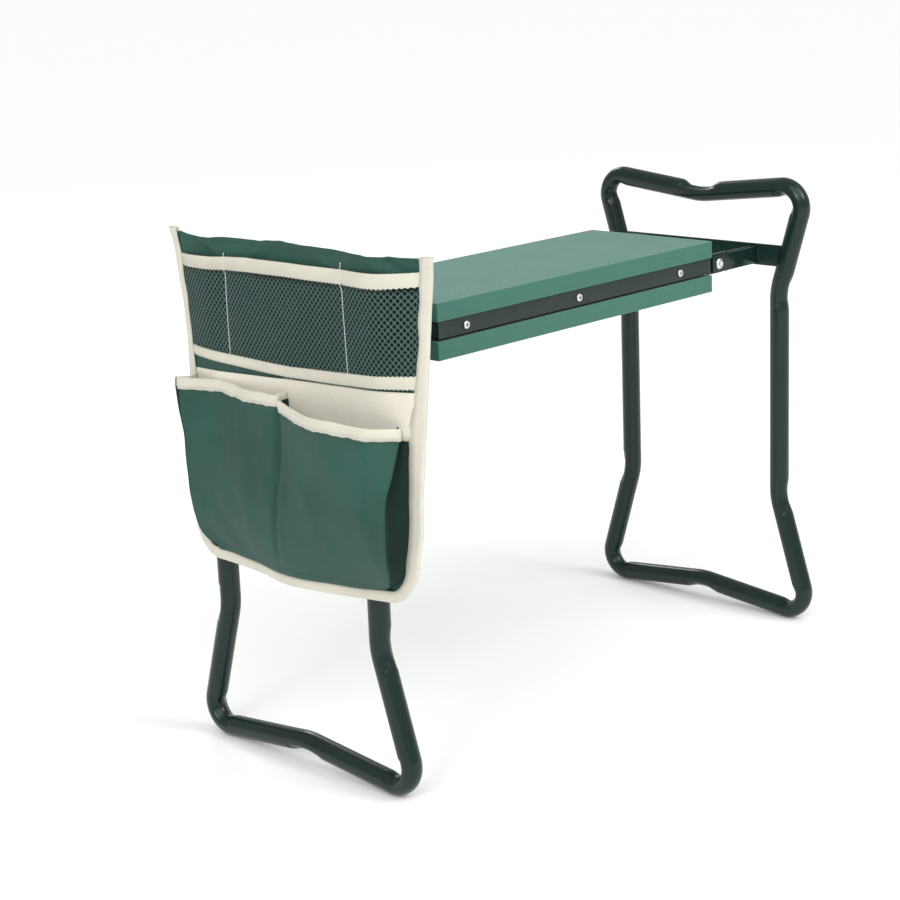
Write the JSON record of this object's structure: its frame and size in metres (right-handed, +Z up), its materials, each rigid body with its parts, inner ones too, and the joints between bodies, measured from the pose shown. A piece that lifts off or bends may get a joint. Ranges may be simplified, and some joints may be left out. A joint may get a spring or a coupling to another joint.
{
  "type": "garden kneeler seat",
  "caption": "Padded garden seat that flips over as a kneeler, hung between folding tube leg loops, with a pocketed tool pouch hanging on a handle.",
  "frame": {"origin": "centre of the seat's top foam face", "axes": "+X along the seat away from the tool pouch, +Y to the rear long side, +Z up out of the sitting face"},
  "size_m": [0.6651, 0.3195, 0.4889],
  "materials": {
    "foam": "matte sage-green EVA foam with a fine ribbed emboss",
    "core_board": "plain pressed board, hidden inside the seat",
    "seat_band": "satin dark green powder coat",
    "frame_paint": "semi-gloss dark green powder coat",
    "plated_steel": "bright zinc plate",
    "pouch_fabric": "coated dark green oxford weave",
    "pouch_lining": "plain cream woven lining",
    "cream_webbing": "cream woven tape",
    "mesh_net": "dark green warp-knitted net",
    "hook_tape": "black hook-and-loop tape"
  },
  "bodies": {
    "seat": {"top_foam_pad": "foam", "bottom_foam_pad": "foam", "seat_core_board": "core_board", "front_side_rail": "seat_band", "rear_side_rail": "seat_band", "left_end_rail": "seat_band", "right_end_rail": "seat_band", "left_front_lug": "frame_paint", "left_rear_lug": "frame_paint", "right_front_lug": "frame_paint", "right_rear_lug": "frame_paint", "front_side_screws": "plated_steel", "rear_side_screws": "plated_steel", "front_lug_spacers": "plated_steel", "rear_lug_spacers": "plated_steel"},
    "left_leg": {"left_leg_loop": "frame_paint", "left_cross_plate": "frame_paint", "left_front_arm": "frame_paint", "left_rear_arm": "frame_paint", "left_hinge_rivets": "plated_steel", "left_stop_pins": "plated_steel"},
    "right_leg": {"right_leg_loop": "frame_paint", "right_cross_plate": "frame_paint", "right_front_arm": "frame_paint", "right_rear_arm": "frame_paint", "right_hinge_rivets": "plated_steel", "right_stop_pins": "plated_steel"},
    "pouch": {"pouch_back_panel": "pouch_fabric", "pouch_edge_binding": "cream_webbing", "pouch_handle_sleeve": "pouch_fabric", "pouch_hook_strip": "hook_tape", "pouch_loop_strip": "hook_tape", "mesh_pocket": "mesh_net", "upper_webbing": "cream_webbing", "lower_webbing": "cream_webbing", "pocket_lining": "pouch_lining", "pocket_front": "pouch_fabric", "pocket_front_gusset": "pouch_fabric", "pocket_rear_gusset": "pouch_fabric", "pocket_divider": "pouch_fabric", "pocket_binding": "cream_webbing"}
  },
  "joints": [
    {"name": "left_leg_fold", "type": "hinge", "parent": "seat", "child": "left_leg", "pos_m": [-0.218, 0, -0.026], "axis": [0, -1, 0], "range_deg": [0, 90]},
    {"name": "right_leg_fold", "type": "hinge", "parent": "seat", "child": "right_leg", "pos_m": [0.218, 0, -0.026], "axis": [0, 1, 0], "range_deg": [0, 90]},
    {"name": "pouch_swing", "type": "hinge", "parent": "left_leg", "child": "pouch", "pos_m": [-0.3075, 0, 0.039], "axis": [0, 1, 0], "range_deg": [0, 60]}
  ]
}
